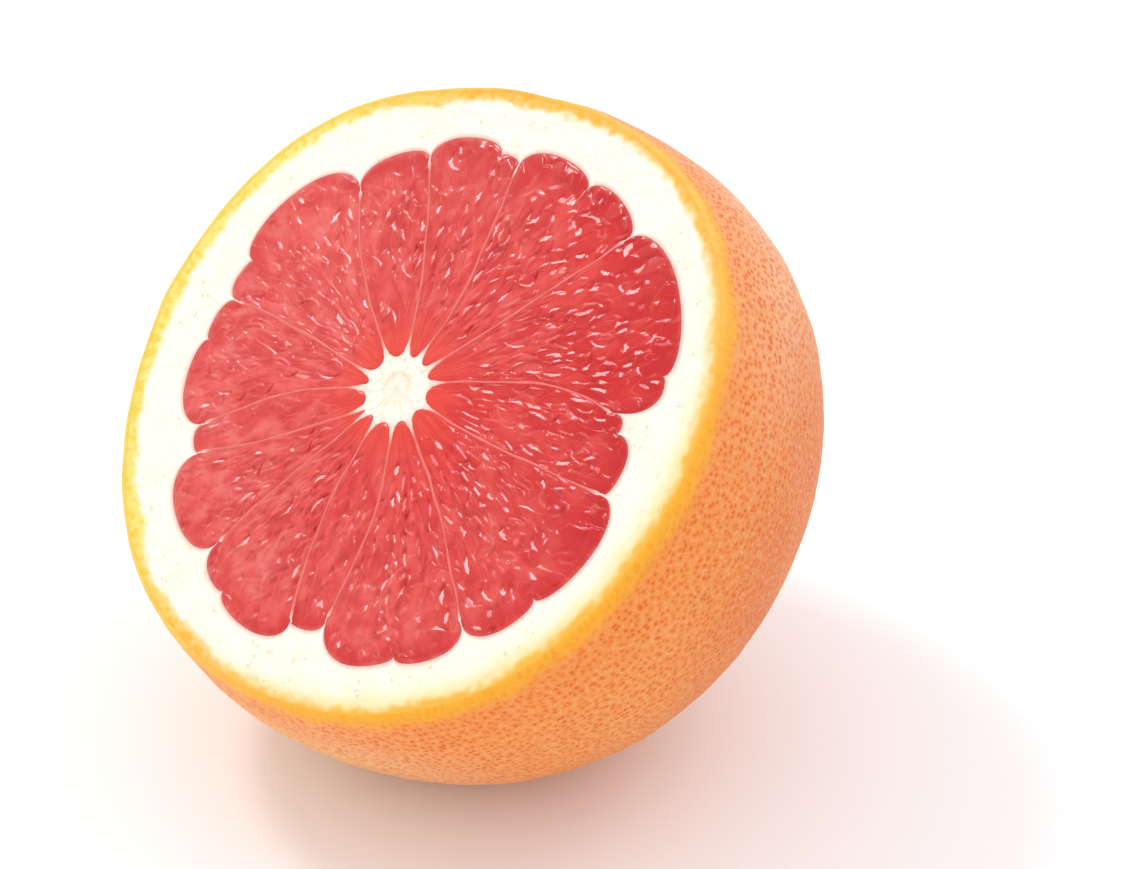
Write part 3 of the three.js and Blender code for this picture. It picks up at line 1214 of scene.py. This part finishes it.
class FRUIT_OT_core(bpy.types.Operator):
    """Builds the fibrous white core, with a ray to each membrane"""

    bl_idname = "fruit.core"
    bl_label = "Core"

    def execute(self, context):
        _, colours, _ = settings()
        top, wall = 26, 5
        rows = top + wall + 2
        mesh, row, angle = wound("core", rows, 720)
        turn = np.degrees(angle)
        star = np.full(len(turn), CORE_RADIUS)
        for index in range(len(MEMBRANES)):
            apart = (turn - membrane_turn(index, 6.0) + 180.0) % 360.0 - 180.0
            star = np.maximum(star, CORE_RADIUS + 1.9 * bell(apart, 6.5))
        part = ramp(0, top - 1, row)
        drop = ramp(top - 1, top - 1 + wall, row)
        # the last two rows close the core beneath
        reach = star * part * np.where(row >= rows - 2, 0.4, 1.0) * (row < rows - 1)
        points = about_core(turn, reach)
        fibre = noise(points, 1.3, 41) + 0.6 * noise(points, 0.6, 42)
        dome = 0.10 + 0.10 * fibre * (1 - part) - 0.28 * smooth(0.72, 1.0, part) ** 2
        dome -= 0.10 * bell(reach - RING_RADIUS, 0.4)
        points[:, 2] = np.where(drop > 0, -0.25 - 2.2 * drop, dome)
        settle(mesh, points)
        lay_flow(mesh, np.radians(turn) * 4.0, reach)
        # a beige ring, open below, round a faintly beige heart
        wander = reach + 0.5 * noise(points, 1.8, 43)
        open_part = 0.25 + 0.75 * smooth(-0.5, 0.5, np.sin(np.radians(turn - 20.0)))
        ring = 0.5 * bell(wander - RING_RADIUS, 0.34) * open_part
        mark(
            mesh,
            ring=(ring + 0.16 * fall(1.8, 3.2, wander)) * (drop == 0),
            rays=0.5 * smooth(1.6, 2.8, reach) * fall(4.6, 6.2, reach) * (drop == 0),
            stain=0.5 * smooth(5.4, 7.4, reach),
        )
        finished("core", mesh, core_finish(colours))
        return {"FINISHED"}


class FRUIT_OT_stem(bpy.types.Operator):
    """Builds the dry stem button, in the hollow opposite the cut"""

    bl_idname = "fruit.stem"
    bl_label = "Stem button"

    def execute(self, context):
        sizes, colours, _ = settings()
        radius = sizes.diameter / MM / 2.0
        top, rows = 20, 28
        mesh, row, turn = wound("stem_button", rows, 120)
        part = ramp(0, top, row)
        under = ramp(top, rows - 1, row)
        # a ragged disc of five lobes
        out = ray(turn)
        rim = 2.85 + 0.32 * np.cos(5 * turn + 0.6) + 0.28 * noise(out, 0.5, 91)
        reach = rim * part * (1 - under)
        spot = out * reach[:, None]
        # a sunk scar in the middle, a raised ring round it, cracks running out
        height = 0.45 + 0.60 * smooth(0.22, 0.50, part) - 0.75 * smooth(0.62, 1.0, part)
        crack = np.abs(noise(out, 0.22, 92)) * smooth(0.35, 0.6, part)
        height -= 0.22 * fall(0.0, 0.35, crack) * smooth(0.4, 0.7, part)
        height += 0.10 * noise(spot, 0.7, 93)
        height = np.where(under > 0, 0.2 - 1.2 * smooth(0.0, 0.4, under), height)
        seat = STEM_HOLLOW - CUT - radius - lumps(np.array(((0.0, 0.0, -radius),)))[0]
        spot[:, 2] = seat - height
        settle(mesh, spot)
        lay_flow(mesh, turn * 2.0, reach)
        mark(mesh, green=0.7 * smooth(0.72, 1.0, part))
        finished("stem_button", mesh, button_finish(colours))
        return {"FINISHED"}


class FRUIT_OT_stage(bpy.types.Operator):
    """Builds the pale floor, the soft lights and the camera"""

    bl_idname = "fruit.stage"
    bl_label = "Studio"

    def execute(self, context):
        _, _, studio = settings()
        scene = context.scene
        bm = bmesh.new()
        bmesh.ops.create_grid(bm, x_segments=1, y_segments=1, size=3.0)
        mesh, _ = to_mesh("floor", bm)
        floor = bpy.data.objects.new("floor", mesh)
        # a hair beneath the fruit, so that the two never share a plane
        floor.location.z = REST_SPOT.z - 0.00005
        scene.collection.objects.link(floor)
        pale = (0.955, 0.955, 0.975, 1.0)
        finish = Finish("pale_floor")
        mesh.materials.append(
            finish.set(Base_Color=pale, Roughness=0.7, Specular_IOR_Level=0.2)
        )

        world = bpy.data.worlds.new("surround")
        world.use_nodes = True
        back = world.node_tree.nodes["Background"]
        back.inputs["Color"].default_value = (1.0, 1.0, 1.0, 1.0)
        back.inputs["Strength"].default_value = studio.surround
        scene.world = world

        self.light("key", (-0.541, -0.119, 1.0), 0.2, studio.key)
        self.light("sheen", (0.35, 0.5, 0.9), 0.5, studio.sheen)

        turn, rise = studio.turn, studio.rise
        right = Vector((math.cos(turn), math.sin(turn), 0.0))
        level = Vector((math.sin(turn), -math.cos(turn), 0.0))
        toward = level * math.cos(rise) + Vector((0.0, 0.0, math.sin(rise)))
        up = toward.cross(right)
        data = bpy.data.cameras.new("camera")
        data.lens = studio.lens
        data.sensor_width = 36.0
        data.clip_start = 0.01
        camera = bpy.data.objects.new("camera", data)
        matrix = Matrix((right, up, toward)).transposed().to_4x4()
        matrix.translation = (
            MIDDLE + right * studio.aside + toward * studio.distance - up * 0.0004
        )
        camera.matrix_world = matrix
        scene.collection.objects.link(camera)
        scene.camera = camera
        scene.view_settings.view_transform = "Standard"
        scene.view_settings.look = "None"
        return {"FINISHED"}

    def light(self, name, spot, size, power):
        """A square soft light that looks at the fruit."""
        data = bpy.data.lights.new(name, "AREA")
        data.shape = "SQUARE"
        data.size = size
        data.energy = power
        lamp = bpy.data.objects.new(name, data)
        lamp.location = Vector(spot)
        lamp.rotation_euler = (MIDDLE - Vector(spot)).to_track_quat("-Z", "Y").to_euler()
        bpy.context.scene.collection.objects.link(lamp)


class FRUIT_PT_panel(bpy.types.Panel):
    """Sizes, colours and steps of the cut grapefruit"""

    bl_label = "Grapefruit"
    bl_idname = "FRUIT_PT_panel"
    bl_space_type = "VIEW_3D"
    bl_region_type = "UI"
    bl_category = "Grapefruit"

    def draw(self, context):
        layout = self.layout
        for group in settings():
            box = layout.box()
            for key in group.bl_rna.properties.keys():
                if key not in ("rna_type", "name"):
                    box.prop(group, key)
        for operator in OPERATORS:
            layout.operator(operator.bl_idname)


GROUPS = (
    ("fruit_sizes", FruitSizes),
    ("fruit_colours", FruitColours),
    ("fruit_studio", StudioSettings),
)
OPERATORS = (
    FRUIT_OT_skin,
    FRUIT_OT_pith,
    FRUIT_OT_segments,
    FRUIT_OT_membranes,
    FRUIT_OT_core,
    FRUIT_OT_stem,
    FRUIT_OT_stage,
)


def register():
    for name, group in GROUPS:
        bpy.utils.register_class(group)
        setattr(bpy.types.Scene, name, PointerProperty(type=group))
    for item in OPERATORS + (FRUIT_PT_panel,):
        bpy.utils.register_class(item)


def unregister():
    for item in reversed(OPERATORS + (FRUIT_PT_panel,)):
        bpy.utils.unregister_class(item)
    for name, group in reversed(GROUPS):
        delattr(bpy.types.Scene, name)
        bpy.utils.unregister_class(group)


def main():
    register()
    bpy.ops.fruit.stage()
    bpy.ops.fruit.skin()
    bpy.ops.fruit.pith()
    bpy.ops.fruit.segments()
    bpy.ops.fruit.membranes()
    bpy.ops.fruit.core()
    bpy.ops.fruit.stem()


if __name__ == "__main__":
    main()
